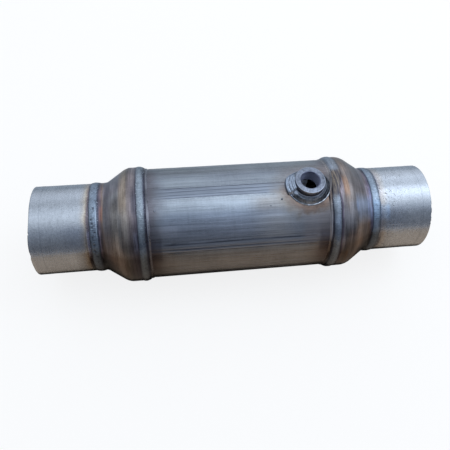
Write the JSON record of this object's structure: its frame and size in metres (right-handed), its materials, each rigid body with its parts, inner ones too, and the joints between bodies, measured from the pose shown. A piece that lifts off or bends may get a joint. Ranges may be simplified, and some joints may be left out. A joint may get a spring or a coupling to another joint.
{
  "type": "catalytic converter",
  "caption": "Universal round catalytic converter: sized steel body, spun end cones, slip-on necks, two honeycomb bricks in mats and a threaded oxygen sensor bung.",
  "frame": {"origin": "middle of the inlet mouth, on the axis of the converter", "axes": "+X along the axis from the inlet to the outlet, +Z out through the oxygen sensor bung"},
  "size_m": [0.3615, 0.1074, 0.1143],
  "materials": {
    "neck_steel": "satin stainless tube",
    "cone_steel": "spun stainless, heat tinted brown and blue",
    "body_steel": "drawn stainless with long sizing marks",
    "weld_metal": "blue-grey weld bead",
    "bung_steel": "turned steel, dulled by heat",
    "cordierite": "porous washcoated honeycomb",
    "fibre_mat": "felted ceramic fibre",
    "wire_mesh": "knitted wire rope"
  },
  "bodies": {
    "root": {"inlet_pipe": "neck_steel", "inlet_pipe_weld": "weld_metal", "inlet_cone": "cone_steel", "inlet_shell_weld": "weld_metal", "body_shell": "body_steel", "sensor_bung": "bung_steel", "sensor_bung_weld": "weld_metal", "front_brick": "cordierite", "rear_brick": "cordierite", "front_mat": "fibre_mat", "rear_mat": "fibre_mat", "front_mat_inlet_seal": "wire_mesh", "front_mat_outlet_seal": "wire_mesh", "rear_mat_inlet_seal": "wire_mesh", "rear_mat_outlet_seal": "wire_mesh", "outlet_shell_weld": "weld_metal", "outlet_cone": "cone_steel", "outlet_pipe_weld": "weld_metal", "outlet_pipe": "neck_steel"}
  },
  "joints": []
}
